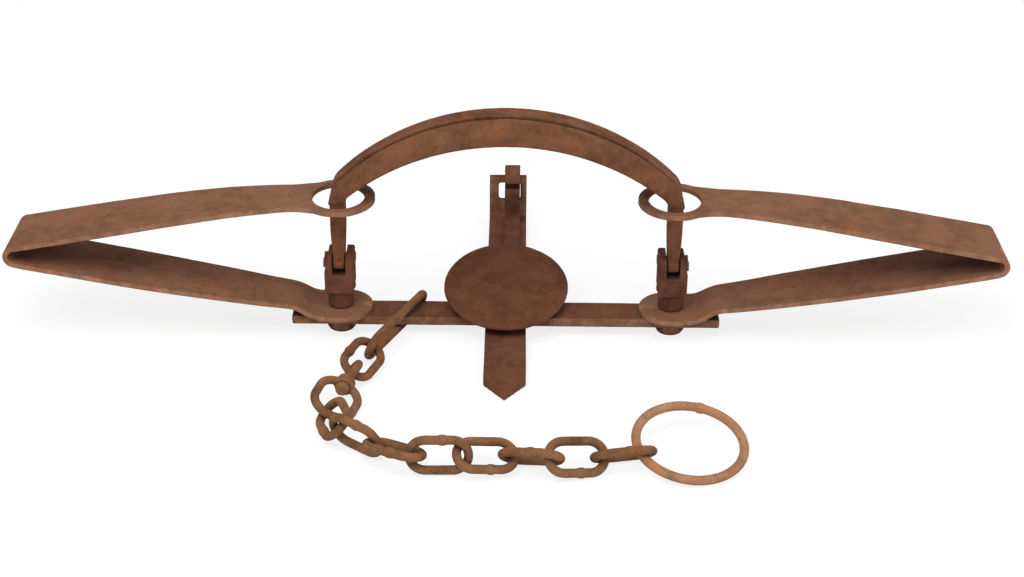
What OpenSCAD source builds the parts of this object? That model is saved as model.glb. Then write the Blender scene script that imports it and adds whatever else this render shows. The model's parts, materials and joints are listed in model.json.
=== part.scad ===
// Foothold trap with two long flat springs, sprung and closed, with swivel chain and ring.
// +X runs along the base bar, +Y towards the upright that carries the dog, +Z up.
// The origin is on the floor under the middle of the base bar. Sizes are in millimetres.

/* [Base] */
// Length of the base bar
bar_l = 214.5; // [205:0.5:225]
// Width of the base bar
bar_w = 17.5; // [15:0.5:20]
// Thickness of the base bar
bar_t = 5; // [4:0.5:6]
// Width of the cross bar
cross_w = 20.5; // [19:0.5:23]
// Thickness of the cross bar
cross_t = 5.5; // [5:0.5:7]
// Distance from the base bar's middle to the point of the cross bar
cross_front = 72; // [65:1:80]
// Length of the pointed end of the cross bar
cross_point = 14; // [8:1:20]
// Radius of the rivet that joins the two bars
bar_rivet_r = 3; // [2:0.5:4]

/* [Upright and dog] */
// Distance from the base bar's middle to the front of the upright
upright_y = 118.5; // [114:0.5:124]
// Height of the upright's top above the floor
upright_h = 29.5; // [27:0.5:32]
// Thickness of the upright
upright_t = 3.5; // [3:0.25:4]
// Height of the bar left above the upright's slot
slot_bar_h = 3.7; // [3:0.1:5]
// Height of the upright's slot
slot_h = 10.5; // [10:0.25:12]
// Width of the dog's strip
dog_w = 8.4; // [6.6:0.1:9]
// Thickness of the dog's strip
dog_t = 2.2; // [1.5:0.1:2.6]
// Inside radius of the curl that holds the dog on the upright
curl_r = 6.2; // [6:0.1:6.6]
// Distance from the base bar's middle to the dog's free tip
dog_tip_y = 54; // [50:1:60]
// Distance of the dog to the right of the upright's middle
dog_x = 2.4; // [1.6:0.1:2.8]
// Side clearance of the dog in its slot, on its right
dog_gap = 0.3; // [0.3:0.1:1]
// Room left in the slot on the dog's left
slot_room = 3.4; // [2:0.2:4]

/* [Posts] */
// Distance from the middle of the base bar to each post
post_x = 83; // [80:0.5:88]
// Width of a post along the base bar
post_w = 14.4; // [13:0.2:15.6]
// Depth of a post across the base bar
post_d = 16; // [15:0.5:16.5]
// Height of a post's top above the floor
post_top = 42.4; // [42:0.2:45]
// Height of the underside of a post's block above the floor
post_low = 22.5; // [21:0.5:24]
// Radius of a post's neck between its block and the spring
neck_r = 6.4; // [5:0.2:7]
// Height of the slot's floor in a post
post_slot_z = 32.6; // [31:0.2:33.4]
// Width of the slot in a post
post_slot_w = 6.8; // [6.6:0.1:7.4]
// Radius of a post's stem
stem_r = 4; // [3.5:0.1:4.5]
// Width across the corners of a post's nut
nut_w = 16; // [14:0.2:17]
// Height of a jaw pin above the floor
pin_z = 38; // [37:0.25:39]
// Distance of a jaw pin from the jaws' meeting plane
pin_y = 3.4; // [3.3:0.05:3.8]
// Radius of a jaw pin
pin_r = 1.7; // [1.4:0.1:2]
// Radius of a jaw pin's peened head
pin_head_r = 2.5; // [2.2:0.1:2.8]
// Thickness of a jaw pin's peened head
pin_head_t = 0.5; // [0.3:0.1:1]

/* [Jaws] */
// Height of the jaws' top above the floor
jaw_top = 115.6; // [112:0.2:119]
// Radius of the jaws' outer arch
jaw_out_r = 117.6; // [114:0.2:122]
// Radius of the jaws' inner arch
jaw_in_r = 120.7; // [118:0.1:125]
// Height of a jaw's bar at the top of the arch
jaw_h = 10.7; // [9:0.1:11.5]
// Depth of one jaw at the arch
jaw_d = 12.2; // [10:0.2:12.6]
// Width of a jaw's leg at the spring eye
leg_w = 7.5; // [7:0.1:8]
// Thickness of a jaw's leg
leg_t = 4.3; // [4:0.1:4.6]
// Width of a jaw's leg at its pin
leg_foot_w = 5.6; // [5:0.1:6.2]
// Radius of the round foot at the bottom of a leg
foot_r = 3.2; // [3:0.05:3.25]
// Distance of each gripping face from the meeting plane
jaw_gap = 0.3; // [0.2:0.05:0.5]

/* [Springs] */
// Thickness of the spring strap
spring_t = 2.6; // [2:0.1:3]
// Width of the spring strap at the bend
spring_w = 37.5; // [34:0.5:41]
// Width of the spring strap at the neck before each eye
neck_w = 26; // [23:0.5:28]
// Distance from the trap's middle to the centre of the bend
bend_x = 240.5; // [234:0.5:246]
// Height of the centre of the bend above the floor
bend_z = 46.5; // [45:0.25:48]
// Inside radius of the bend
bend_r = 3; // [2.6:0.1:4]
// Height of the upper eye's top above the floor
eye_top = 73; // [71:0.25:74]
// Inside length of the upper eye along the spring
eye_in_l = 26; // [25:0.2:28]
// Inside width of the upper eye
eye_in_w = 30.2; // [29.8:0.2:31]
// Width of the rim at the upper eye's end
eye_rim_end = 5; // [4:0.2:6]
// Width of the rim at the upper eye's sides
eye_rim_side = 4.2; // [3.6:0.2:6]
// Radius of the lower eye
low_eye_r = 16; // [15.4:0.1:17]

/* [Pan] */
// Diameter of the pan
pan_d = 63; // [56:0.5:66]
// Thickness of the pan
pan_t = 2.2; // [1.6:0.1:2.6]
// Distance of the pan's middle behind the base bar's middle
pan_y = 8.6; // [6:0.2:11]
// Height of the middle of the pan's upper face
pan_z = 20; // [19.6:0.1:21]
// Slope of the fallen pan
pan_tilt = 15.5; // [15:0.25:17]
// Width of the pan's shank
shank_w = 9; // [7:0.2:10]
// Thickness of the pan's shank
shank_t = 2; // [1.6:0.1:2.2]
// Distance of the pan's pivot behind the base bar's middle
pivot_y = 38; // [36:0.25:39]
// Radius of the pan's pivot pin
pivot_r = 1.6; // [1.3:0.1:1.8]
// Thickness of the bracket that carries the pan
bracket_t = 2.2; // [1.8:0.1:2.6]

/* [Chain] */
// Diameter of the chain's wire
wire_d = 4.2; // [3.8:0.1:4.4]
// Outside length of a chain link
link_l = 30.8; // [30:0.2:32.4]
// Outside width of a chain link
link_w = 18.6; // [18.2:0.2:19.8]
// Outside length of the long link round the base bar
bar_link_l = 61; // [57:1:66]
// Outside width of the long link round the base bar
bar_link_w = 17.2; // [16.8:0.2:18.6]
// Length of the swivel's bow
bow_l = 31.6; // [30:0.2:34]
// Width of the swivel's bow
bow_w = 23.6; // [22:0.2:25]
// Outside diameter of the anchor ring
ring_d = 53.8; // [52:0.2:58]
// Diameter of the anchor ring's wire
ring_wire_d = 4.4; // [4:0.1:4.8]
// Gap left between two links that hook squarely
link_gap = 0.5; // [0.4:0.05:0.7]

/* [Fits] */
// Radial clearance of pins, rivets and stems in their holes
fit = 0.05; // [0.02:0.01:0.1]
// Gap left between moving flat faces
slip = 0.15; // [0.1:0.05:0.3]

/* [Hidden] */
$fn = 48;

rust = [0.36, 0.20, 0.14];
dark_rust = [0.29, 0.17, 0.13];
chain_rust = [0.45, 0.28, 0.18];

bar_z = cross_t;
bar_top = bar_z + bar_t;
post_z = bar_top + spring_t + slip;
// How far a cut runs past the faces that it opens
cut = 1;

// Points on an arc in a plane, from angle a to angle b
function arc(c, r, a, b, n) =
    [for (i = [0 : n]) let (t = a + (b - a) * i / n) c + r * [cos(t), sin(t)]];

// Points on a cubic curve between two ends with two handles
function curve(p, q, r, s, n) =
    [for (i = [0 : n]) let (t = i / n, u = 1 - t)
        u * u * u * p + 3 * u * u * t * q + 3 * u * t * t * r + t * t * t * s];

function unit(v) = v / norm(v);
function reversed(v) = [for (i = [len(v) - 1 : -1 : 0]) v[i]];

// Direction of a path of points at point i, and its left-hand normal
function along(p, i) = unit(p[min(i + 1, len(p) - 1)] - p[max(i - 1, 0)]);
function left_of(d) = [-d[1], d[0]];

// Outline of a strip of thickness t whose left face follows the points of p
function strip(p, t) =
    concat(p, reversed([for (i = [0 : len(p) - 1]) p[i] - t * left_of(along(p, i))]));

// Solid of a side view in X and Z, centred on Y = 0
module side_slab(points, width) {
    rotate([90, 0, 0])
        linear_extrude(height = width, center = true)
            polygon(points);
}

// Solid of a side view in Y and Z, centred on X = 0
module cross_slab(points, width) {
    rotate([90, 0, 90])
        linear_extrude(height = width, center = true)
            polygon(points);
}

module x_rod(r, l) {
    rotate([0, 90, 0])
        cylinder(h = l, r = r, center = true);
}

// Base

module base_bar() {
    color(rust) difference() {
        translate([-bar_l / 2, -bar_w / 2, bar_z])
            cube([bar_l, bar_w, bar_t]);
        for (side = [-1, 1])
            translate([side * post_x, 0, bar_z - cut])
                cylinder(h = bar_t + 2 * cut, r = stem_r + fit);
        translate([0, 0, bar_z - cut])
            cylinder(h = bar_t + 2 * cut, r = bar_rivet_r + fit);
    }
}

corner_r = 3;
slot_top = upright_h - slot_bar_h;
bracket_rivet_r = 2;
bracket_l = 14;

module cross_bar() {
    back = upright_y + upright_t;
    half = cross_w / 2;
    color(rust) difference() {
        union() {
            linear_extrude(height = cross_t)
                polygon([
                    [half, back], [-half, back], [-half, cross_point - cross_front],
                    [0, -cross_front], [half, cross_point - cross_front]
                ]);
            translate([-half, upright_y, 0])
                cube([cross_w, upright_t, upright_h]);
            translate([-half, upright_y - corner_r, cross_t])
                cube([cross_w, corner_r, corner_r]);
        }
        translate([0, upright_y - corner_r, cross_t + corner_r])
            x_rod(corner_r, cross_w + 2 * cut);
        translate([dog_x - dog_w / 2 - slot_room, upright_y - cut, slot_top - slot_h])
            cube([slot_room + dog_w + dog_gap, upright_t + 2 * cut, slot_h]);
        translate([0, 0, -cut])
            cylinder(h = cross_t + 2 * cut, r = bar_rivet_r + fit);
        translate([0, pivot_y, -cut])
            cylinder(h = cross_t + 2 * cut, r = bracket_rivet_r + fit);
    }
}

rivet_head = 1.2;

module bar_rivet() {
    color(dark_rust) {
        cylinder(h = bar_top, r = bar_rivet_r);
        translate([0, 0, bar_top])
            cylinder(h = rivet_head, r1 = bar_rivet_r + rivet_head, r2 = bar_rivet_r);
    }
}

// Posts, nuts and jaw pins

// Slope of a post's outer side, up to its top, and the small bevel of its inner side
post_bevel = 1.6;
post_bevel_h = 8;
post_chip = 0.6;
post_foot = 1;
shoulder = 1.5;

// Side view of a post's block
function post_side(side) =
    let (half = post_w / 2)
    [
        [side * (post_foot - half), post_low], [side * (half - post_foot), post_low],
        [side * half, post_low + post_foot], [side * half, post_top - post_bevel_h],
        [side * (half - post_bevel), post_top], [side * (post_chip - half), post_top],
        [-side * half, post_top - post_chip], [-side * half, post_low + post_foot]
    ];

module post(side) {
    color(rust) translate([side * post_x, 0, 0]) difference() {
        union() {
            side_slab(post_side(side), post_d);
            cylinder(h = post_low + post_foot, r = stem_r);
            translate([0, 0, post_z])
                cylinder(h = post_low + post_foot - post_z, r = neck_r);
            translate([0, 0, post_low - shoulder])
                cylinder(h = shoulder + post_foot, r1 = neck_r, r2 = neck_r + shoulder);
        }
        translate([-post_slot_w / 2, -post_d, post_slot_z])
            cube([post_slot_w, 2 * post_d, post_top]);
        for (face = [-1, 1])
            translate([0, face * pin_y, pin_z])
                x_rod(pin_r + fit, post_w + 2 * cut);
    }
}
module left_post() { post(-1); }
module right_post() { post(1); }

// The nut narrows towards the floor, below the given height
nut_taper = 1.8;
nut_taper_h = 2.6;

module nut(side) {
    color(rust) translate([side * post_x, 0, 0]) difference() {
        intersection() {
            cylinder(h = bar_z, d = nut_w, $fn = 6);
            cylinder(h = 3 * nut_taper_h, d1 = nut_w - 2 * nut_taper, d2 = nut_w + 4 * nut_taper);
        }
        translate([0, 0, -cut])
            cylinder(h = bar_z + 2 * cut, r = stem_r + fit);
    }
}
module left_nut() { nut(-1); }
module right_nut() { nut(1); }

// The heads are peened down onto the post's cheeks
module jaw_pin(side, face) {
    length = post_w + 2 * pin_head_t;
    color(dark_rust) translate([side * post_x, 0, 0]) {
        translate([0, face * pin_y, pin_z])
            x_rod(pin_r, length);
        difference() {
            translate([0, face * pin_y, pin_z])
                x_rod(pin_head_r, length);
            side_slab(post_side(side), post_d);
        }
    }
}
module left_front_pin() { jaw_pin(-1, -1); }
module left_rear_pin() { jaw_pin(-1, 1); }
module right_front_pin() { jaw_pin(1, -1); }
module right_rear_pin() { jaw_pin(1, 1); }

// Jaws

leg_taper_low = 46;
leg_taper_top = 56;
leg_mid_w = 6.4;
out_corner_r = 14;
in_corner_r = 8;
arch_steps = 20;
corner_steps = 8;
// Heights over which a jaw swells from its leg to its full depth
jaw_step_low = 69.5;
jaw_step_top = 73.8;
// Size of the bevel on the outer edge of the front jaw and of the rear jaw, and on both lower edges
edge_front = 5;
edge_rear = 0.6;
edge_low = 1.2;
// Width and depth of the step along each jaw's edge at the meeting plane
meet_w = 1.6;
meet_h = 5;
// Section of a two-flat bevel of size 1: the corner is at the origin, with the bar below and left of it
bevel = [[-1.25, 0.1], [-0.3, -0.3], [0.1, -1.25], [0.1, 0.1]];

// Right half of an arch: up a leg at x, round a corner of radius c, onto an arch of radius r
function half_arch(x, r, top, c) =
    let (zc = top - r, rise = sqrt(pow(r - c, 2) - pow(x - c, 2)), a = atan2(rise, x - c))
    concat(arc([x - c, zc + rise], c, 0, a, corner_steps),
        [for (i = [1 : arch_steps]) let (t = a + (90 - a) * i / arch_steps)
            [0, zc] + r * [cos(t), sin(t)]]);

// Foot of a leg on one side: side is 1 for its outer edge and -1 for its inner edge
function leg_edge(side) = [
    [post_x + side * leg_foot_w / 2, pin_z],
    [post_x + side * leg_mid_w / 2, leg_taper_low],
    [post_x + side * leg_w / 2, leg_taper_top]
];

function jaw_half() = concat(
    leg_edge(1),
    half_arch(post_x + leg_w / 2, jaw_out_r, jaw_top, out_corner_r),
    reversed(half_arch(post_x - leg_w / 2, jaw_in_r, jaw_top - jaw_h, in_corner_r)),
    reversed(leg_edge(-1))
);

// Cutter for an edge of the arch's far face. The arch has radius r about height c, and out is 1 on the
// outer arch and -1 on the inner one.
module edge_cut(c, r, size, out) {
    translate([0, 0, c]) rotate([90, 0, 0]) rotate_extrude(convexity = 4)
        polygon([for (p = bevel) [r + out * size * p[0], jaw_gap + jaw_d + size * p[1]]]);
}

// Cutter for the step along the edge at the meeting plane
module meet_cut() {
    translate([0, 0, jaw_top - jaw_out_r]) rotate([90, 0, 0]) rotate_extrude(convexity = 4)
        translate([jaw_out_r - meet_h, jaw_gap - cut])
            square([meet_h + cut, meet_w + cut]);
}

// Front jaw: its gripping face looks to +Y
module jaw(edge) {
    difference() {
        union() {
            translate([0, -jaw_gap - jaw_d / 2, 0]) {
                side_slab(jaw_half(), jaw_d);
                mirror([1, 0, 0]) side_slab(jaw_half(), jaw_d);
            }
            for (side = [-1, 1])
                translate([side * post_x, -pin_y, pin_z])
                    x_rod(foot_r, leg_foot_w);
        }
        difference() {
            cross_slab([
                [-jaw_gap - leg_t, 0], [-jaw_gap - leg_t, jaw_step_low],
                [-jaw_gap - jaw_d, jaw_step_top], [-2 * jaw_d, jaw_step_top], [-2 * jaw_d, 0]
            ], 3 * post_x);
            for (side = [-1, 1])
                translate([side * post_x, -pin_y, pin_z])
                    x_rod(foot_r, leg_foot_w);
        }
        for (side = [-1, 1])
            translate([side * post_x, -pin_y, pin_z])
                x_rod(pin_r + fit, leg_w);
        edge_cut(jaw_top - jaw_out_r, jaw_out_r, edge, 1);
        edge_cut(jaw_top - jaw_h - jaw_in_r, jaw_in_r, edge_low, -1);
        meet_cut();
    }
}
module front_jaw() { color(rust) jaw(edge_front); }
module rear_jaw() { color(rust) mirror([0, 1, 0]) jaw(edge_rear); }

// Springs: one strap with an eye at each end, split at the bend where it flexes

bend_steps = 10;
leaf_steps = 12;
plan_steps = 32;
// Angle of the bend's arc at which the two leaves part
bend_split = 86;
bend_start = -75;
// Step of the lower leaf from the bar up to the foot of its long rise: its end, knee and height
lift_run = 27;
lift_knee = 17;
lift_rise = 6.4;
lift_ease = 1;
post_room = 1.4;
lift_x = post_x + lift_run;
lift_z = bar_top + lift_rise;
lift_mid = post_x + lift_knee;
low_start_x = post_x + post_w / 2 + post_room;
// Handles of the long curves of both leaves
rise_run = 50;
low_sag = 8.5;
low_pull = 10;
low_land = 5;
land_drop = 1.2;
top_flat = 16;
top_run = 60;
top_drop = 1.5;
top_pull = 10.5;
top_land = 8;
// The upper eye sits a little inward of the post
eye_shift = 0.5;
eye_c = post_x - eye_shift;
eye_out_l = eye_in_l / 2 + eye_rim_end;
eye_out_w = eye_in_w / 2 + eye_rim_side;
// Both leaves flare into their eyes: start and width of each flare, and its length
top_plan_start = 10;
top_flare_w = 2.6;
low_plan_start = 7;
low_flare_w = 2;
flare_l = 18;
flare_steps = 5;
plan_widen = 22;
plan_widen_l = 110;

// Side view of the lower leaf: its upper face, from the eye to the split in the bend
function low_path() = concat(
    [[post_x - low_eye_r - cut, bar_top + spring_t]],
    curve([low_start_x, bar_top + spring_t], [lift_mid, bar_top + spring_t],
        [lift_mid, lift_z + spring_t - lift_ease], [lift_x, lift_z + spring_t], leaf_steps),
    curve([lift_x + top_land, lift_z + spring_t + land_drop],
        [lift_x + rise_run, lift_z + spring_t + low_sag],
        [bend_x - rise_run, bend_z - bend_r - low_pull],
        [bend_x - low_land, bend_z - bend_r - land_drop], leaf_steps),
    arc([bend_x, bend_z], bend_r, bend_start, bend_split, bend_steps)
);

// Side view of the upper leaf: its upper face, from the eye to the split in the bend
function top_path() = concat(
    [[post_x - eye_out_l - cut, eye_top]],
    curve([post_x + top_flat, eye_top], [post_x + top_run, eye_top - top_drop],
        [bend_x - top_run, bend_z + bend_r + spring_t + top_pull],
        [bend_x - top_land, bend_z + bend_r + spring_t + top_drop], 2 * leaf_steps),
    [[bend_x, bend_z + bend_r + spring_t]]
);

// Plan view of a leaf: half width at distance x from the trap's middle
function leaf_side(x) =
    let (t = min(1, max(0, (x - post_x - plan_widen) / plan_widen_l)))
    neck_w / 2 + (spring_w - neck_w) / 2 * t * (2 - t);

// Distances along a leaf at which its outline is drawn: along the flare, then on to the bend
function plan_x(start) = concat(
    [for (i = [0 : flare_steps]) post_x + start + flare_l * i / flare_steps],
    [for (i = [1 : leaf_steps])
        let (from = post_x + start + flare_l) from + (bend_x + spring_w - from) * i / leaf_steps]
);

// Outline of a leaf in plan, with a flare of width w from the given start
function leaf_plan(start, w) =
    let (half = [for (x = plan_x(start))
        [x, leaf_side(x) + w * pow(max(0, 1 - (x - post_x - start) / flare_l), 2)]])
    concat(half, reversed([for (p = half) [p[0], -p[1]]]));

function oval(c, a, b, n) = [for (i = [0 : n - 1]) let (t = 360 * i / n) [c + a * cos(t), b * sin(t)]];

module leaf_lower() {
    difference() {
        intersection() {
            side_slab(strip(low_path(), spring_t), 2 * spring_w);
            union() {
                linear_extrude(height = 2 * bend_z) polygon(leaf_plan(low_plan_start, low_flare_w));
                translate([post_x, 0, 0]) cylinder(h = 2 * bend_z, r = low_eye_r);
            }
        }
        translate([post_x, 0, 0]) cylinder(h = 2 * bend_z, r = stem_r + fit);
    }
}

module leaf_upper() {
    difference() {
        intersection() {
            side_slab(strip(top_path(), spring_t), 2 * spring_w);
            union() {
                linear_extrude(height = 2 * eye_top) polygon(leaf_plan(top_plan_start, top_flare_w));
                linear_extrude(height = 2 * eye_top)
                    polygon(oval(eye_c, eye_out_l, eye_out_w, plan_steps));
            }
        }
        linear_extrude(height = 2 * eye_top)
            polygon(oval(eye_c, eye_in_l / 2, eye_in_w / 2, plan_steps));
    }
}
module left_spring_lower() { color(rust) mirror([1, 0, 0]) leaf_lower(); }
module left_spring_upper() { color(rust) mirror([1, 0, 0]) leaf_upper(); }
module right_spring_lower() { color(rust) leaf_lower(); }
module right_spring_upper() { color(rust) leaf_upper(); }

// Pan, its shank and its bracket

pan_under = pan_z - pan_t / cos(pan_tilt);
pan_slope = tan(pan_tilt);
// Height of the pivot: the shank's underside passes above the round end of the bracket's ears
ear_r = 3.4;
ear_gap = 0.4;
pivot_drop = ear_r + ear_gap;
pivot_z = pan_under + (pivot_y - pan_y) * pan_slope - pivot_drop / cos(pan_tilt);
ear_x = shank_w / 2 + slip;
shank_front = 24;

module pan_frame() {
    translate([0, pan_y, pan_z])
        rotate([pan_tilt, 0, 0])
            children();
}

// Distance from the pan's middle to the pivot, along the pan and below its upper face
pivot_run = (pivot_y - pan_y) * cos(pan_tilt) + (pivot_z - pan_z) * sin(pan_tilt);
pivot_sink = (pivot_z - pan_z) * cos(pan_tilt) - (pivot_y - pan_y) * sin(pan_tilt);

pan_edge = 0.7;
pan_rivet_r = 2;

module pan() {
    color(rust) pan_frame() rotate_extrude(convexity = 4)
        polygon([
            [pan_rivet_r + fit, 0], [pan_d / 2 - pan_edge, 0], [pan_d / 2, -pan_edge],
            [pan_d / 2, pan_edge - pan_t], [pan_d / 2 - pan_edge, -pan_t], [pan_rivet_r + fit, -pan_t]
        ]);
}

module pan_shank() {
    color(dark_rust) pan_frame() difference() {
        union() {
            translate([-shank_w / 2, -shank_front, -pan_t - shank_t])
                cube([shank_w, shank_front + pivot_run, shank_t]);
            translate([0, pivot_run, pivot_sink])
                x_rod(ear_r, shank_w);
        }
        translate([0, 0, -2 * pan_t - shank_t])
            cylinder(h = 3 * pan_t, r = pan_rivet_r + fit);
        translate([0, pivot_run, pivot_sink])
            x_rod(pivot_r + fit, 2 * shank_w);
    }
}

pan_rivet_head = 0.5;
pan_rivet_flare = 1.2;
pan_rivet_crown = 0.4;

module pan_rivet() {
    color(dark_rust) pan_frame() {
        translate([0, 0, -pan_t - shank_t])
            cylinder(h = pan_t + shank_t, r = pan_rivet_r);
        cylinder(h = pan_rivet_head, r1 = pan_rivet_r + pan_rivet_flare,
            r2 = pan_rivet_r + pan_rivet_crown);
    }
}

module pan_bracket() {
    width = 2 * (ear_x + bracket_t);
    color(dark_rust) difference() {
        union() {
            translate([-width / 2, pivot_y - bracket_l / 2, cross_t])
                cube([width, bracket_l, bracket_t]);
            for (side = [-1, 1])
                translate([side * (ear_x + bracket_t / 2), pivot_y, 0]) {
                    translate([-bracket_t / 2, -ear_r, cross_t])
                        cube([bracket_t, 2 * ear_r, pivot_z - cross_t]);
                    translate([0, 0, pivot_z])
                        x_rod(ear_r, bracket_t);
                }
        }
        translate([0, pivot_y, pivot_z])
            x_rod(pivot_r + fit, 2 * width);
        translate([0, pivot_y, 0])
            cylinder(h = cross_t + 2 * bracket_t, r = bracket_rivet_r + fit);
    }
}

module bracket_rivet() {
    color(dark_rust) translate([0, pivot_y, 0]) {
        cylinder(h = cross_t + bracket_t, r = bracket_rivet_r);
        translate([0, 0, cross_t + bracket_t])
            cylinder(h = rivet_head, r1 = bracket_rivet_r + rivet_head, r2 = bracket_rivet_r);
    }
}

pan_pin_head = 0.8;
pan_pin_flare = 0.8;

module pan_pin() {
    reach = 2 * (ear_x + bracket_t);
    color(dark_rust) translate([0, pivot_y, pivot_z]) {
        x_rod(pivot_r, reach + 2 * pan_pin_head);
        for (end = [-1, 1])
            translate([end * (reach + pan_pin_head) / 2, 0, 0])
                x_rod(pivot_r + pan_pin_flare, pan_pin_head);
    }
}

// Dog: a strip curled round the bar above the slot, with its arm lying forward on the cross bar

// Height of the curl's inside above the top of the upright
curl_over = 3.5;
curl_c = [upright_y + upright_t / 2, upright_h - curl_r + curl_over];
curl_start = -95;
curl_turn = 265;
curl_lap = 10;
arm_steps = 8;
arm_gap = 0.4;
// The arm is a little thinner than the curl that it grows out of
arm_inset = 0.25;
arm_t = dog_t - 2 * arm_inset;
arm_top = cross_t + arm_gap + arm_t;
root_r = curl_r + arm_inset;
// The arm comes forward out of the slot, drops in front of the upright, and runs along the cross bar
drop_y = upright_y - 9;
hump_z = upright_h - 4.8;
drop_bend = 3;
foot_bend = 2.5;

// Upper face of the dog's arm, from its tip to the curl
function dog_arm() =
    let (root = curl_c + root_r * [cos(curl_start), sin(curl_start)],
        brow = [drop_y + drop_bend, hump_z])
    concat(
        [[dog_tip_y, arm_top]],
        arc([drop_y - foot_bend, arm_top + foot_bend], foot_bend, -90, 0, arm_steps),
        arc([drop_y + drop_bend, hump_z - drop_bend], drop_bend, 180, 100, arm_steps),
        curve(brow, brow + [drop_bend, 0], root - [drop_bend, 0], root, arm_steps),
        arc(curl_c, root_r, curl_start + curl_lap / 2, curl_start + curl_lap, 1)
    );

module dog() {
    color(rust) translate([dog_x, 0, 0]) union() {
        cross_slab(strip(dog_arm(), arm_t), dog_w);
        translate([0, curl_c[0], curl_c[1]])
            rotate([90, 0, 90])
                rotate([0, 0, curl_start])
                    rotate_extrude(angle = curl_turn, convexity = 4)
                        translate([curl_r, -dog_w / 2])
                            square([dog_t, dog_w]);
    }
}

// Chain: each link hooks the one before it, and is set by its heading, slope and roll

// Half turn of wire of centre-line radius r
module wire_bend(r, d) {
    rotate_extrude(angle = 180, convexity = 4)
        translate([r, 0])
            circle(d = d);
}

weld_l = 2.4;
weld_d = 0.8;
// Roll beyond which a link stands on edge and carries its weld bead on its upper side
weld_roll = 60;

// Oval of wire d, outside size l by w, along X in the XY plane
module wire_oval(l, w, d) {
    r = (w - d) / 2;
    run = l - w;
    for (side = [-1, 1]) {
        translate([0, side * r, 0]) x_rod(d / 2, run);
        translate([side * run / 2, 0, 0]) rotate([0, 0, side * -90]) wire_bend(r, d);
    }
}

// Oval link with a weld bead on one side
module wire_link(l, w, d, roll) {
    up = roll > weld_roll ? 1 : -1;
    wire_oval(l, w, d);
    translate([(l - w) / 8, up * (w - d) / 2, 0]) x_rod((d + weld_d) / 2, weld_l);
}

// Swivel, along +X from the centre of its eye
eye_r = 7.1;
head_r = 3.6;
head_l = 3.2;
head_bevel = 0.8;
collar_r = 4.6;
collar_l = 5.8;
swivel_shank_r = 2.1;
bow_gap = 1.2;
eye_bend = eye_r - wire_d / 2;
collar_x = eye_r + bow_gap;
head_x = collar_x + collar_l + slip;

// Chain layout, from the long link on: heading from +X, slope and roll of each piece in degrees,
// then the slack added where a piece hooks the one before it at a slant
slant = 0.7;
// Turn of the weld bead round the ring
ring_weld_way = 143;
bar_link_at = [-54.6, -12.7, 8.4];
bar_link_set = [246, -0.5, 68];
swivel_way = 257;
swivel_slope = -1.1;
chain_set = [
    [250, -1.5, -34, 0], [swivel_way, swivel_slope, 52, slant],
    [swivel_way, swivel_slope, -27.5, 0], [287, 9.5, 42.5, slant], [324, -2.7, 104, slant],
    [334, 0.7, -20.5, slant], [0, 0.8, 80.5, slant], [11, -7.2, 27, slant],
    [345, 7.8, -46.5, slant], [14.5, -7.5, 47.5, slant], [11, 0.3, -41.5, 0], [23, -0.2, 11, slant]
];

function heading(s) = [cos(s[0]) * cos(s[1]), sin(s[0]) * cos(s[1]), sin(s[1])];

// Distance between the end wires of each piece, measured on the wire's centre line
function span(k) =
    k == 1 ? eye_bend + collar_x + collar_l / 2
    : k == 2 ? bow_l - collar_l / 2 - wire_d / 2
    : k == last ? ring_d - ring_wire_d
    : link_l - wire_d;

// Wire centre of each piece's near end; the bow starts where the eye's shank passes its collar
last = len(chain_set) - 1;
bar_link_tip = bar_link_at + heading(bar_link_set) * (bar_link_l - wire_d) / 2;
function hook(k) = (wire_d + (k == last ? ring_wire_d : wire_d)) / 2 + link_gap + chain_set[k][3];
function hooked(from, s, k) = from - hook(k) * unit(heading(s) + heading(chain_set[k]));
function near(k) =
    k == 0 ? hooked(bar_link_tip, bar_link_set, 0)
    : k == 2 ? far(1)
    : hooked(far(k - 1), chain_set[k - 1], k);
function far(k) = near(k) + span(k) * heading(chain_set[k]);
function middle(k) = (near(k) + far(k)) / 2;

module placed(at, s) {
    translate(at) rotate([0, 0, s[0]]) rotate([0, -s[1], 0]) rotate([s[2], 0, 0]) children();
}

module chain_link(k) {
    s = chain_set[k];
    color(chain_rust) placed(middle(k), s) wire_link(link_l, link_w, wire_d, s[2]);
}

module bar_link() {
    s = bar_link_set;
    color(chain_rust) placed(bar_link_at, s) wire_link(bar_link_l, bar_link_w, wire_d, s[2]);
}

module swivel_eye() {
    color(chain_rust) placed(near(1), chain_set[1]) translate([eye_bend, 0, 0]) {
        rotate_extrude(convexity = 4) translate([eye_bend, 0]) circle(d = wire_d);
        translate([eye_bend, 0, 0]) rotate([0, 90, 0])
            cylinder(h = head_x - eye_bend + head_l, r = swivel_shank_r);
        translate([head_x, 0, 0]) rotate([0, 90, 0])
            cylinder(h = head_l, r1 = head_r, r2 = head_r - head_bevel);
    }
}

module swivel_bow() {
    reach = span(2);
    color(chain_rust) placed(near(2), chain_set[2]) difference() {
        union() {
            x_rod(collar_r, collar_l);
            translate([reach / 2, 0, 0]) wire_oval(reach + wire_d, bow_w, wire_d);
        }
        x_rod(swivel_shank_r + fit, 4 * collar_l);
    }
}

module anchor_ring() {
    r = (ring_d - ring_wire_d) / 2;
    color(chain_rust) placed(middle(last), chain_set[last]) {
        rotate_extrude(convexity = 4) translate([r, 0]) circle(d = ring_wire_d);
        rotate([0, 0, ring_weld_way]) translate([0, -r, 0])
            x_rod((ring_wire_d + weld_d) / 2, weld_l);
    }
}

module chain_link_1() { chain_link(0); }
module chain_link_2() { chain_link(3); }
module chain_link_3() { chain_link(4); }
module chain_link_4() { chain_link(5); }
module chain_link_5() { chain_link(6); }
module chain_link_6() { chain_link(7); }
module chain_link_7() { chain_link(8); }
module chain_link_8() { chain_link(9); }
module chain_link_9() { chain_link(10); }

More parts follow.
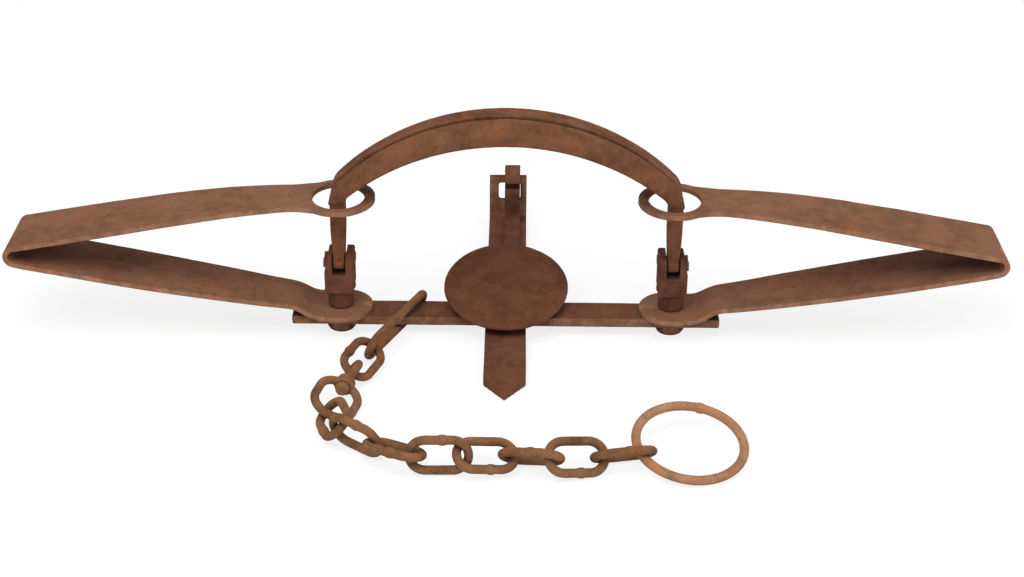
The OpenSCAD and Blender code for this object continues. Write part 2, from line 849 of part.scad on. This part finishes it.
base_bar();
cross_bar();
bar_rivet();
left_post();
right_post();
left_nut();
right_nut();
left_front_pin();
left_rear_pin();
right_front_pin();
right_rear_pin();
front_jaw();
rear_jaw();
left_spring_lower();
left_spring_upper();
right_spring_lower();
right_spring_upper();
pan_bracket();
bracket_rivet();
pan_pin();
pan();
pan_shank();
pan_rivet();
dog();
bar_link();
chain_link_1();
swivel_eye();
swivel_bow();
chain_link_2();
chain_link_3();
chain_link_4();
chain_link_5();
chain_link_6();
chain_link_7();
chain_link_8();
chain_link_9();
anchor_ring();
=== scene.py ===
"""A rusted double long-spring trap, sprung and closed, with its chain and ring on a pale floor."""

import json
import math
from collections import namedtuple

import bmesh
import bpy
from mathutils import Matrix, Vector

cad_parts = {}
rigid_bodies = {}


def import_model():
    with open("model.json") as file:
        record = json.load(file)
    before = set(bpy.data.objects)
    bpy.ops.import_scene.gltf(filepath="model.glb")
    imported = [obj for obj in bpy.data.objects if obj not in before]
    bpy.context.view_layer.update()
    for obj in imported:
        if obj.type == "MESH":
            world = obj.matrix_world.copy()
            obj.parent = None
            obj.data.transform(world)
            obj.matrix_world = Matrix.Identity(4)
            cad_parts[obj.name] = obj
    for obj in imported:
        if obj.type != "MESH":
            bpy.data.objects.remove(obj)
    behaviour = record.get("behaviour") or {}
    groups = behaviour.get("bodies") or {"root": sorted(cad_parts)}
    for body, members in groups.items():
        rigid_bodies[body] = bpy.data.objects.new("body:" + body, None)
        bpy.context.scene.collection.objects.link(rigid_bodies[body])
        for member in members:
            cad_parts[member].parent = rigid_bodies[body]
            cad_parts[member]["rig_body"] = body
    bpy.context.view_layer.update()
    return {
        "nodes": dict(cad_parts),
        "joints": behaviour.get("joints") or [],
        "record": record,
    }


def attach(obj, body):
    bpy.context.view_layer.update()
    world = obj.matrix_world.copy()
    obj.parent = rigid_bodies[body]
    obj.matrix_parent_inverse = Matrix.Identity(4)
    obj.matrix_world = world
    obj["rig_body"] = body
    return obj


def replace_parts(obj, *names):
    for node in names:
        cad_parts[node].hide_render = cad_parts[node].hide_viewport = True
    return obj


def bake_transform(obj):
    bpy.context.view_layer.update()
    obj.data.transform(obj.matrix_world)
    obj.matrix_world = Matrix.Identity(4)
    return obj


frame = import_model()

MM = 0.001

# Camera, at the photograph's viewing angle, with its angles in degrees
PHOTO_WIDTH_PX = 1024
FOCAL_PX = 1941
SENSOR_MM = 36
CAMERA_TARGET = Vector((2.9 * MM, 42.4 * MM, 0))
CAMERA_DISTANCE = 1023 * MM
CAMERA_ELEVATION = 28
CAMERA_YAW = -0.18
CAMERA_ROLL = 0.54

# Lamps, in metres and watts
KEY_PLACE = Vector((-0.35, -0.75, 1.35))
KEY_SIZE = 1.1
KEY_WATTS = 17
FILL_PLACE = Vector((0.9, -0.35, 0.8))
FILL_SIZE = 1.2
FILL_WATTS = 5

# Floor in metres, and world: its strength as a light and as it is seen
FLOOR_HALF = 6
FLOOR_COLOUR = (0.93, 0.93, 0.93, 1)
FLOOR_GLOW = 0.8
WORLD_COLOUR = (1, 1, 1, 1)
WORLD_LIGHT = 0.62
WORLD_SEEN = 1

# Relief of the old metal: breadth, depth and detail of its slow waves and of its pits
RELIEF_DETAIL = 2
WAVE_SIZE = 26 * MM
WAVE_DEPTH = 0.2 * MM
DEEP_WAVE_DEPTH = 0.3 * MM
STRAP_WAVE_DEPTH = 0.25 * MM
PIT_SIZE = 2.6 * MM
PIT_DEPTH = 0.12 * MM
PAN_PIT_DEPTH = 0.2 * MM
STRAP_PIT_DEPTH = 0.08 * MM

# Worn pieces: their mesh sizes, and the smoothing that eases their edges
SMALL_CELL = 0.4 * MM
CHAIN_CELL = 0.42 * MM
PAN_CELL = 0.5 * MM
JAW_CELL = 0.55 * MM
BAR_CELL = 0.6 * MM
SMOOTHING = 0.5
SMOOTHING_ROUNDS = 4
MERGE_DISTANCE = 0.001 * MM

# Strap of a spring: bevel of its edges and its mesh size
STRAP_BEVEL = 0.45 * MM
STRAP_CELL = 2 * MM

# Strap of a spring, in degrees: least angle of an edge that is kept, bevelled and shaded sharp
FLAT_ANGLE = 1
BEVEL_ANGLE = 60
SHARP_ANGLE = 30

# Parted ends of a spring's leaves: least X of their normals, and how near the bend they lie
END_FACING = 0.9
END_REACH = 1 * MM

# Rust, layers of noise: breadth of the features, and the low and high value that the layer spreads
Noise = namedtuple("Noise", "size detail rough warp shift low high")
CLOUD = Noise(size=30 * MM, detail=4, rough=0.55, warp=0.5, shift=0, low=0.36, high=0.66)
MOTTLE = Noise(size=6.5 * MM, detail=5, rough=0.62, warp=0.3, shift=0, low=0.34, high=0.7)
GRAIN = Noise(size=0.9 * MM, detail=3, rough=0.6, warp=0, shift=0, low=0.3, high=0.7)
BLOOM = Noise(size=19 * MM, detail=4, rough=0.6, warp=0.6, shift=0.31, low=0.5, high=0.72)
SPECK = Noise(size=2 * MM, detail=2, rough=0.5, warp=0.3, shift=0.57, low=0.64, high=0.74)

# Rust, tones: red, green and blue as shares of the plain colour
BLOOM_TONE = (1.2, 1.02, 0.78)
GRAIN_TONE = (0.84, 0.82, 0.8)
SPECK_TONE = (0.6, 0.55, 0.5)
HOLLOW_TONE = (0.55, 0.5, 0.46)
# Tone of the painted shade, with dirt, in narrow gaps and under pieces
GAP_SHADE_AND_DIRT_TONE = (0.42, 0.36, 0.32)

# Rust, contrast: how far below the plain colour its clouds go, and how far above it its mottles go
CLOUD_FALL = (0.14, 0.16, 0.18)
MOTTLE_RISE = (0.1, 0.12, 0.14)

# Rust, cover: how much of what is under it each layer hides
MOTTLE_COVER = 0.5
GRAIN_COVER = 0.3
SPECK_COVER = 0.6
# RIM_COVER: share of the pale of worn rims, which is partly a painted highlight
RIM_COVER = 0.8
HOLLOW_COVER = 0.6
# Share of the painted shade, with dirt, laid in narrow gaps and under pieces
GAP_SHADE_AND_DIRT_COVER = 0.75

# Rust, where it shows, with painted highlight on rims and sides and painted shade in gaps: pointiness
# of rims and hollows, Y of a side face's normal, light left in gaps
RIM_POINTINESS = (0.53, 0.62)
HOLLOW_POINTINESS = (0.42, 0.48)
SIDE_FACING = (0.6, 0.92)
GAP_LIGHT = (0.12, 0.6)
GAP_REACH = 7 * MM
GAP_SAMPLES = 8

# Rust, surface: wear where its mottles are least, roughness over its mottles, shine and fine relief
LEAST_WEAR = 0.35
ROUGHNESS = (0.94, 0.8)
SPECULAR = 0.12
GRAIN_DEPTH = 0.09 * MM
SPECK_DEPTH = 0.16 * MM

# Sockets of a Mix node that hold colours, which share their names with others
MIX_FIRST = 6
MIX_SECOND = 7
MIX_RESULT = 2


def linear(red, green, blue):
    """Scene colour of an sRGB colour, written in the 0 to 255 steps of a picture."""
    steps = [value / 255 for value in (red, green, blue)]
    return [s / 12.92 if s < 0.04045 else ((s + 0.055) / 1.055) ** 2.4 for s in steps] + [1]


def toned(colour, tone):
    """Scene colour of a colour with its three parts scaled."""
    return linear(*(part * share for part, share in zip(colour, tone)))


class Shader:
    """The nodes of one material, with short calls for the kinds used here."""

    def __init__(self, name):
        self.material = bpy.data.materials.new(name)
        self.material.use_nodes = True
        self.tree = self.material.node_tree
        self.tree.nodes.clear()
        where = self.add("ShaderNodeTexCoord")
        self.place = where.outputs["Object"]
        self.facing = where.outputs["Normal"]

    def add(self, kind, **settings):
        """A new node of this kind with these settings."""
        node = self.tree.nodes.new(kind)
        for key, value in settings.items():
            setattr(node, key, value)
        return node

    def feed(self, socket, value):
        """Link an output to a socket, or set the socket to a plain value."""
        if isinstance(value, bpy.types.NodeSocket):
            self.tree.links.new(value, socket)
        else:
            socket.default_value = value

    def layer(self, noise, top=1):
        """A layer of noise, spread from 0 to top."""
        moved = self.add("ShaderNodeMapping")
        self.feed(moved.inputs["Vector"], self.place)
        moved.inputs["Location"].default_value = (noise.shift, noise.shift, noise.shift)
        node = self.add("ShaderNodeTexNoise")
        self.feed(node.inputs["Vector"], moved.outputs["Vector"])
        node.inputs["Scale"].default_value = 1 / noise.size
        node.inputs["Detail"].default_value = noise.detail
        node.inputs["Roughness"].default_value = noise.rough
        node.inputs["Distortion"].default_value = noise.warp
        return self.span(node.outputs["Fac"], noise.low, noise.high, 0, top)

    def span(self, value, low, high, to_low=0, to_high=1):
        """Map low..high smoothly to to_low..to_high."""
        node = self.add("ShaderNodeMapRange", interpolation_type="SMOOTHSTEP")
        self.feed(node.inputs["Value"], value)
        node.inputs["From Min"].default_value = low
        node.inputs["From Max"].default_value = high
        node.inputs["To Min"].default_value = to_low
        node.inputs["To Max"].default_value = to_high
        return node.outputs["Result"]

    def math(self, operation, *values):
        node = self.add("ShaderNodeMath", operation=operation)
        for socket, value in zip(node.inputs, values):
            self.feed(socket, value)
        return node.outputs[0]

    def times(self, first, second):
        return self.math("MULTIPLY", first, second)

    def mix(self, share, first, second):
        """The first colour, with this share of the second."""
        node = self.add("ShaderNodeMix", data_type="RGBA")
        self.feed(node.inputs["Factor"], share)
        self.feed(node.inputs[MIX_FIRST], first)
        self.feed(node.inputs[MIX_SECOND], second)
        return node.outputs[MIX_RESULT]

    def bump(self, height, depth, under=None):
        """Relief of this depth in metres, over the relief under it."""
        node = self.add("ShaderNodeBump")
        node.inputs["Strength"].default_value = 1
        node.inputs["Distance"].default_value = depth
        self.feed(node.inputs["Height"], height)
        if under is not None:
            self.feed(node.inputs["Normal"], under)
        return node.outputs["Normal"]


def side_faces(shader):
    """1 on faces that look along Y, such as the edges of a bar or strap that runs along X, which are
    paled for rubbed wear and a painted highlight.
    """
    parts = shader.add("ShaderNodeSeparateXYZ")
    shader.feed(parts.inputs["Vector"], shader.facing)
    return shader.span(shader.math("ABSOLUTE", parts.outputs["Y"]), *SIDE_FACING)


def gap_shade_and_dirt(shader):
    """1 in narrow gaps between pieces and under them, where dirt stays and painted shade falls: their
    ambient occlusion.
    """
    node = shader.add("ShaderNodeAmbientOcclusion", samples=GAP_SAMPLES)
    node.inputs["Distance"].default_value = GAP_REACH
    return shader.span(node.outputs["AO"], *GAP_LIGHT, 1, 0)


def rust(name, plain, edge, bloom=0.4, sides=0, contrast=1):
    """Dry brown rust: faint clouds and grain, orange bloom, small specks, paler edges of wear and
    painted highlight, and gaps darkened by dirt and painted shade.

    bloom is how far its orange shows, sides how far the faces that look along Y are paled too, by
    rubbed wear and a painted highlight, and contrast how far its clouds and mottles depart from the
    plain colour.
    """
    shader = Shader(name)
    cloud = shader.layer(CLOUD)
    mottle = shader.layer(MOTTLE)
    grain = shader.layer(GRAIN)
    glow = shader.layer(BLOOM, bloom)
    specks = shader.layer(SPECK)
    pointiness = shader.add("ShaderNodeNewGeometry").outputs["Pointiness"]
    wear = shader.span(mottle, 0, 1, LEAST_WEAR, 1)

    dark = [1 - contrast * part for part in CLOUD_FALL]
    pale = [1 + contrast * part for part in MOTTLE_RISE]
    colour = shader.mix(cloud, toned(plain, dark), linear(*plain))
    colour = shader.mix(shader.times(mottle, MOTTLE_COVER), colour, toned(plain, pale))
    colour = shader.mix(glow, colour, toned(plain, BLOOM_TONE))
    colour = shader.mix(shader.times(grain, GRAIN_COVER), colour, toned(plain, GRAIN_TONE))
    colour = shader.mix(shader.times(specks, SPECK_COVER), colour, toned(plain, SPECK_TONE))
    # Sides that look along Y paled: rubbed wear and a painted highlight on those faces
    if sides:
        rubbed_and_lit_sides = shader.times(side_faces(shader), shader.times(wear, sides))
        colour = shader.mix(rubbed_and_lit_sides, colour, linear(*edge))
    # Pale rims: worn metal and a painted highlight along the edges
    rim = shader.times(shader.span(pointiness, *RIM_POINTINESS), wear)
    colour = shader.mix(shader.times(rim, RIM_COVER), colour, linear(*edge))
    hollow = shader.span(pointiness, *HOLLOW_POINTINESS, HOLLOW_COVER, 0)
    colour = shader.mix(hollow, colour, toned(plain, HOLLOW_TONE))
    # Painted shade, with dirt: darker where ambient occlusion finds gaps and undersides
    shade_and_dirt_share = shader.times(gap_shade_and_dirt(shader), GAP_SHADE_AND_DIRT_COVER)
    colour = shader.mix(shade_and_dirt_share, colour, toned(plain, GAP_SHADE_AND_DIRT_TONE))

    fine = shader.bump(grain, GRAIN_DEPTH)
    relief = shader.bump(shader.math("SUBTRACT", 1, specks), SPECK_DEPTH, fine)
    surface = shader.add("ShaderNodeBsdfPrincipled")
    shader.feed(surface.inputs["Base Color"], colour)
    shader.feed(surface.inputs["Roughness"], shader.span(mottle, 0, 1, *ROUGHNESS))
    shader.feed(surface.inputs["Normal"], relief)
    surface.inputs["Specular IOR Level"].default_value = SPECULAR
    out = shader.add("ShaderNodeOutputMaterial")
    shader.feed(out.inputs["Surface"], surface.outputs["BSDF"])
    return shader.material


# edge is the pale of worn rims and rubbed sides, partly a painted highlight there
JAW = rust("jaw_rust", plain=(109, 70, 50), edge=(142, 100, 74), contrast=1.8)
BAR = rust("bar_rust", plain=(98, 62, 44), edge=(136, 100, 76), sides=0.7, contrast=1.6)
POST = rust("post_rust", plain=(95, 60, 44), edge=(134, 95, 70), contrast=2.2)
SPRING = rust("spring_rust", plain=(121, 83, 63), edge=(150, 110, 84), sides=0.6)
PAN = rust("pan_rust", plain=(96, 59, 41), edge=(132, 93, 68), contrast=1.3)
DARK = rust("dark_rust", plain=(86, 54, 40), edge=(122, 86, 64))
CHAIN = rust("chain_rust", plain=(122, 86, 59), edge=(160, 115, 78), bloom=0.8, contrast=2)
RING = rust("ring_rust", plain=(158, 116, 87), edge=(178, 138, 108), bloom=0.6, contrast=1.5)


def slot_of(node):
    """The record's material slot of a CAD node."""
    return next(part["material_slot"] for part in frame["record"]["subparts"] if part["node"] == node)


def gathered(*nodes):
    """Copies of these CAD nodes' meshes, to be worked on together."""
    joined = bmesh.new()
    for node in nodes:
        joined.from_mesh(frame["nodes"][node].data)
    bmesh.ops.remove_doubles(joined, verts=joined.verts, dist=MERGE_DISTANCE)
    return joined


def placed(name, built):
    """A new object that holds the mesh that was worked on."""
    mesh = bpy.data.meshes.new(name)
    built.to_mesh(mesh)
    built.free()
    made = bpy.data.objects.new(name, mesh)
    bpy.context.scene.collection.objects.link(made)
    return made


def relief_texture(name, size):
    """A cloud texture for relief, with features about this many metres across."""
    texture = bpy.data.textures.new(name, "CLOUDS")
    texture.noise_scale = size
    texture.noise_depth = RELIEF_DETAIL
    return texture


WAVES = relief_texture("waves", WAVE_SIZE)
PITS = relief_texture("pits", PIT_SIZE)


def rounded(obj, cell):
    """Set up a sharp copy to be rebuilt with soft edges."""
    rebuilt = obj.modifiers.new("rebuilt", "REMESH")
    rebuilt.mode = "VOXEL"
    rebuilt.voxel_size = cell
    rebuilt.use_smooth_shade = True
    softened = obj.modifiers.new("softened", "SMOOTH")
    softened.factor = SMOOTHING
    softened.iterations = SMOOTHING_ROUNDS
    return obj


def worn(obj, wave, pit):
    """Give a piece the slight waves and shallow pits of old metal, in its mesh."""
    for texture, depth in ((WAVES, wave), (PITS, pit)):
        relief = obj.modifiers.new(texture.name, "DISPLACE")
        relief.texture = texture
        relief.texture_coords = "LOCAL"
        relief.strength = depth
    seen = obj.evaluated_get(bpy.context.evaluated_depsgraph_get())
    mesh = bpy.data.meshes.new_from_object(seen)
    obj.modifiers.clear()
    obj.data = mesh
    mesh.name = obj.name
    mesh.materials.clear()
    return obj


def dressed(obj, finish):
    """Give a rebuilt piece its finish."""
    obj.data.materials.append(finish)
    return obj


def weathered(node, finish, cell, wave=WAVE_DEPTH, pit=PIT_DEPTH):
    """A worn piece in place of one CAD node, on the same body."""
    sharp = placed("worn_" + node, gathered(node))
    piece = dressed(worn(rounded(sharp, cell), wave, pit), finish)
    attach(piece, frame["nodes"][node]["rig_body"])
    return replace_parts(piece, node)


def join_leaves(built, bend):
    """Close the strap where its two leaves were parted, over the bend."""
    ends = []
    for face in built.faces:
        centre = face.calc_center_median()
        near = abs(centre.x - bend.x) < END_REACH and centre.z > bend.z
        if near and abs(face.normal.x) > END_FACING:
            ends.append(face)
    rims = {edge for face in ends for edge in face.edges}
    bmesh.ops.delete(built, geom=ends, context="FACES_ONLY")
    bmesh.ops.bridge_loops(built, edges=list(rims))
    bmesh.ops.recalc_face_normals(built, faces=built.faces)


def ease_edges(built):
    """Bevel the long edges of the strap and of its eyes."""
    least = math.radians(BEVEL_ANGLE)
    edges = [edge for edge in built.edges if edge.is_manifold and edge.calc_face_angle() > least]
    bmesh.ops.bevel(built, geom=edges, offset=STRAP_BEVEL, offset_type="OFFSET", segments=1,
                    profile=0.5, affect="EDGES", clamp_overlap=True)


def divide(built, axis, cell):
    """Cut a mesh into cells along one axis."""
    places = [vertex.co.dot(axis) for vertex in built.verts]
    first = math.ceil(min(places) / cell)
    last = math.floor(max(places) / cell)
    for step in range(first, last + 1):
        everything = built.verts[:] + built.edges[:] + built.faces[:]
        bmesh.ops.bisect_plane(built, geom=everything, plane_co=axis * (step * cell), plane_no=axis)


def strap_mesh(lower, upper, bend):
    """Both leaves of a spring as one closed strap with eased edges, fine enough to take relief."""
    built = gathered(lower, upper)
    flat = math.radians(FLAT_ANGLE)
    bmesh.ops.dissolve_limit(built, angle_limit=flat, verts=built.verts, edges=built.edges)
    join_leaves(built, bend)
    bmesh.ops.dissolve_degenerate(built, dist=STRAP_BEVEL, edges=built.edges)
    ease_edges(built)
    bmesh.ops.connect_verts_concave(built, faces=built.faces)
    for axis in (Vector((1, 0, 0)), Vector((0, 1, 0))):
        divide(built, axis, STRAP_CELL)
    return built


def strap(side):
    """One spring as a single bent strap, made of its two leaves."""
    lower = side + "_spring_lower"
    upper = side + "_spring_upper"
    press = next(joint for joint in frame["joints"] if joint["name"] == side + "_spring_press")
    bend = Vector(press["pos_m"])
    sharp = placed(side + "_spring", strap_mesh(lower, upper, bend))
    piece = worn(sharp, STRAP_WAVE_DEPTH, STRAP_PIT_DEPTH)
    piece.data.shade_smooth()
    piece.data.set_sharp_from_angle(angle=math.radians(SHARP_ANGLE))
    dressed(piece, SPRING)
    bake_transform(piece)
    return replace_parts(piece, lower, upper)


def add_side(side):
    """The spring, the post and the nut of one side."""
    strap(side)
    weathered(side + "_post", POST, SMALL_CELL)
    weathered(side + "_nut", BAR, SMALL_CELL)


def add_jaws():
    for node in ("front_jaw", "rear_jaw"):
        weathered(node, JAW, JAW_CELL, wave=DEEP_WAVE_DEPTH)


def add_bars():
    for node in ("base_bar", "cross_bar"):
        weathered(node, BAR, BAR_CELL)


def add_pan():
    weathered("pan", PAN, PAN_CELL, wave=DEEP_WAVE_DEPTH, pit=PAN_PIT_DEPTH)


def add_dog():
    weathered("dog", POST, SMALL_CELL)


def add_chain():
    """The links, the swivel and the ring."""
    for node in frame["nodes"]:
        if slot_of(node) == "chain_steel":
            weathered(node, RING if node == "anchor_ring" else CHAIN, CHAIN_CELL)


def darken_fittings():
    """Put dark rust on the CAD nodes that stay: pins, rivets, and the pan's bracket and shank."""
    for obj in frame["nodes"].values():
        if not obj.hide_render:
            obj.data.materials.clear()
            obj.data.materials.append(DARK)


def add_lamp(name, place, size, watts):
    """A round lamp that is aimed at the middle of the view."""
    lamp = bpy.data.lights.new(name, "AREA")
    lamp.shape = "DISK"
    lamp.size = size
    lamp.energy = watts
    holder = bpy.data.objects.new(name, lamp)
    holder.location = place
    holder.rotation_euler = (CAMERA_TARGET - place).to_track_quat("-Z", "Y").to_euler()
    bpy.context.scene.collection.objects.link(holder)


def seen_directly(tree):
    """1 for rays that show the background itself: camera, glossy and transmission rays."""
    path = tree.nodes.new("ShaderNodeLightPath")
    total = path.outputs["Is Camera Ray"]
    for kind in ("Is Glossy Ray", "Is Transmission Ray"):
        either = tree.nodes.new("ShaderNodeMath")
        either.operation = "MAXIMUM"
        tree.links.new(total, either.inputs[0])
        tree.links.new(path.outputs[kind], either.inputs[1])
        total = either.outputs[0]
    return total


def add_world():
    """An even pale world that lights less than it shows."""
    world = bpy.data.worlds.new("studio")
    world.use_nodes = True
    tree = world.node_tree
    tree.nodes.clear()
    strength = tree.nodes.new("ShaderNodeMapRange")
    tree.links.new(seen_directly(tree), strength.inputs["Value"])
    strength.inputs["To Min"].default_value = WORLD_LIGHT
    strength.inputs["To Max"].default_value = WORLD_SEEN
    light = tree.nodes.new("ShaderNodeBackground")
    light.inputs["Color"].default_value = WORLD_COLOUR
    tree.links.new(strength.outputs["Result"], light.inputs["Strength"])
    out = tree.nodes.new("ShaderNodeOutputWorld")
    tree.links.new(light.outputs["Background"], out.inputs["Surface"])
    bpy.context.scene.world = world


def floor_paint():
    """Pale paint that takes the shadow, and glows where it is seen directly so that it shows white."""
    material = bpy.data.materials.new("floor")
    material.use_nodes = True
    tree = material.node_tree
    tree.nodes.clear()
    paint = tree.nodes.new("ShaderNodeBsdfDiffuse")
    paint.inputs["Color"].default_value = FLOOR_COLOUR
    glow = tree.nodes.new("ShaderNodeEmission")
    share = tree.nodes.new("ShaderNodeMath")
    share.operation = "MULTIPLY"
    tree.links.new(seen_directly(tree), share.inputs[0])
    share.inputs[1].default_value = FLOOR_GLOW
    both = tree.nodes.new("ShaderNodeMixShader")
    tree.links.new(share.outputs[0], both.inputs[0])
    tree.links.new(paint.outputs[0], both.inputs[1])
    tree.links.new(glow.outputs[0], both.inputs[2])
    out = tree.nodes.new("ShaderNodeOutputMaterial")
    tree.links.new(both.outputs[0], out.inputs["Surface"])
    return material


def add_floor():
    """A wide square floor under the part."""
    mesh = bpy.data.meshes.new("floor")
    corners = [(-1, -1), (1, -1), (1, 1), (-1, 1)]
    mesh.from_pydata([(x * FLOOR_HALF, y * FLOOR_HALF, 0) for x, y in corners], [], [(0, 1, 2, 3)])
    floor = bpy.data.objects.new("floor", mesh)
    bpy.context.scene.collection.objects.link(floor)
    mesh.materials.append(floor_paint())


def add_camera():
    """The camera, aimed at its target from the front, and rolled a little."""
    elevation, yaw, roll = (math.radians(a) for a in (CAMERA_ELEVATION, CAMERA_YAW, CAMERA_ROLL))
    ahead = Vector((math.sin(yaw) * math.cos(elevation), math.cos(yaw) * math.cos(elevation),
                    -math.sin(elevation)))
    right = ahead.cross(Vector((0, 0, 1))).normalized()
    up = right.cross(ahead)
    rolled_right = right * math.cos(roll) + up * math.sin(roll)
    rolled_up = up * math.cos(roll) - right * math.sin(roll)
    turn = Matrix((rolled_right, rolled_up, -ahead)).transposed()
    data = bpy.data.cameras.new("camera")
    data.sensor_width = SENSOR_MM
    data.lens = FOCAL_PX / PHOTO_WIDTH_PX * SENSOR_MM
    camera = bpy.data.objects.new("camera", data)
    camera.matrix_world = Matrix.Translation(CAMERA_TARGET - ahead * CAMERA_DISTANCE) @ turn.to_4x4()
    bpy.context.scene.collection.objects.link(camera)
    bpy.context.scene.camera = camera


add_camera()
add_world()
add_floor()
add_lamp("key", KEY_PLACE, KEY_SIZE, KEY_WATTS)
add_lamp("fill", FILL_PLACE, FILL_SIZE, FILL_WATTS)

add_side("left")
add_side("right")
add_jaws()
add_bars()
add_pan()
add_dog()
add_chain()
darken_fittings()

bpy.context.scene.view_settings.view_transform = "Standard"
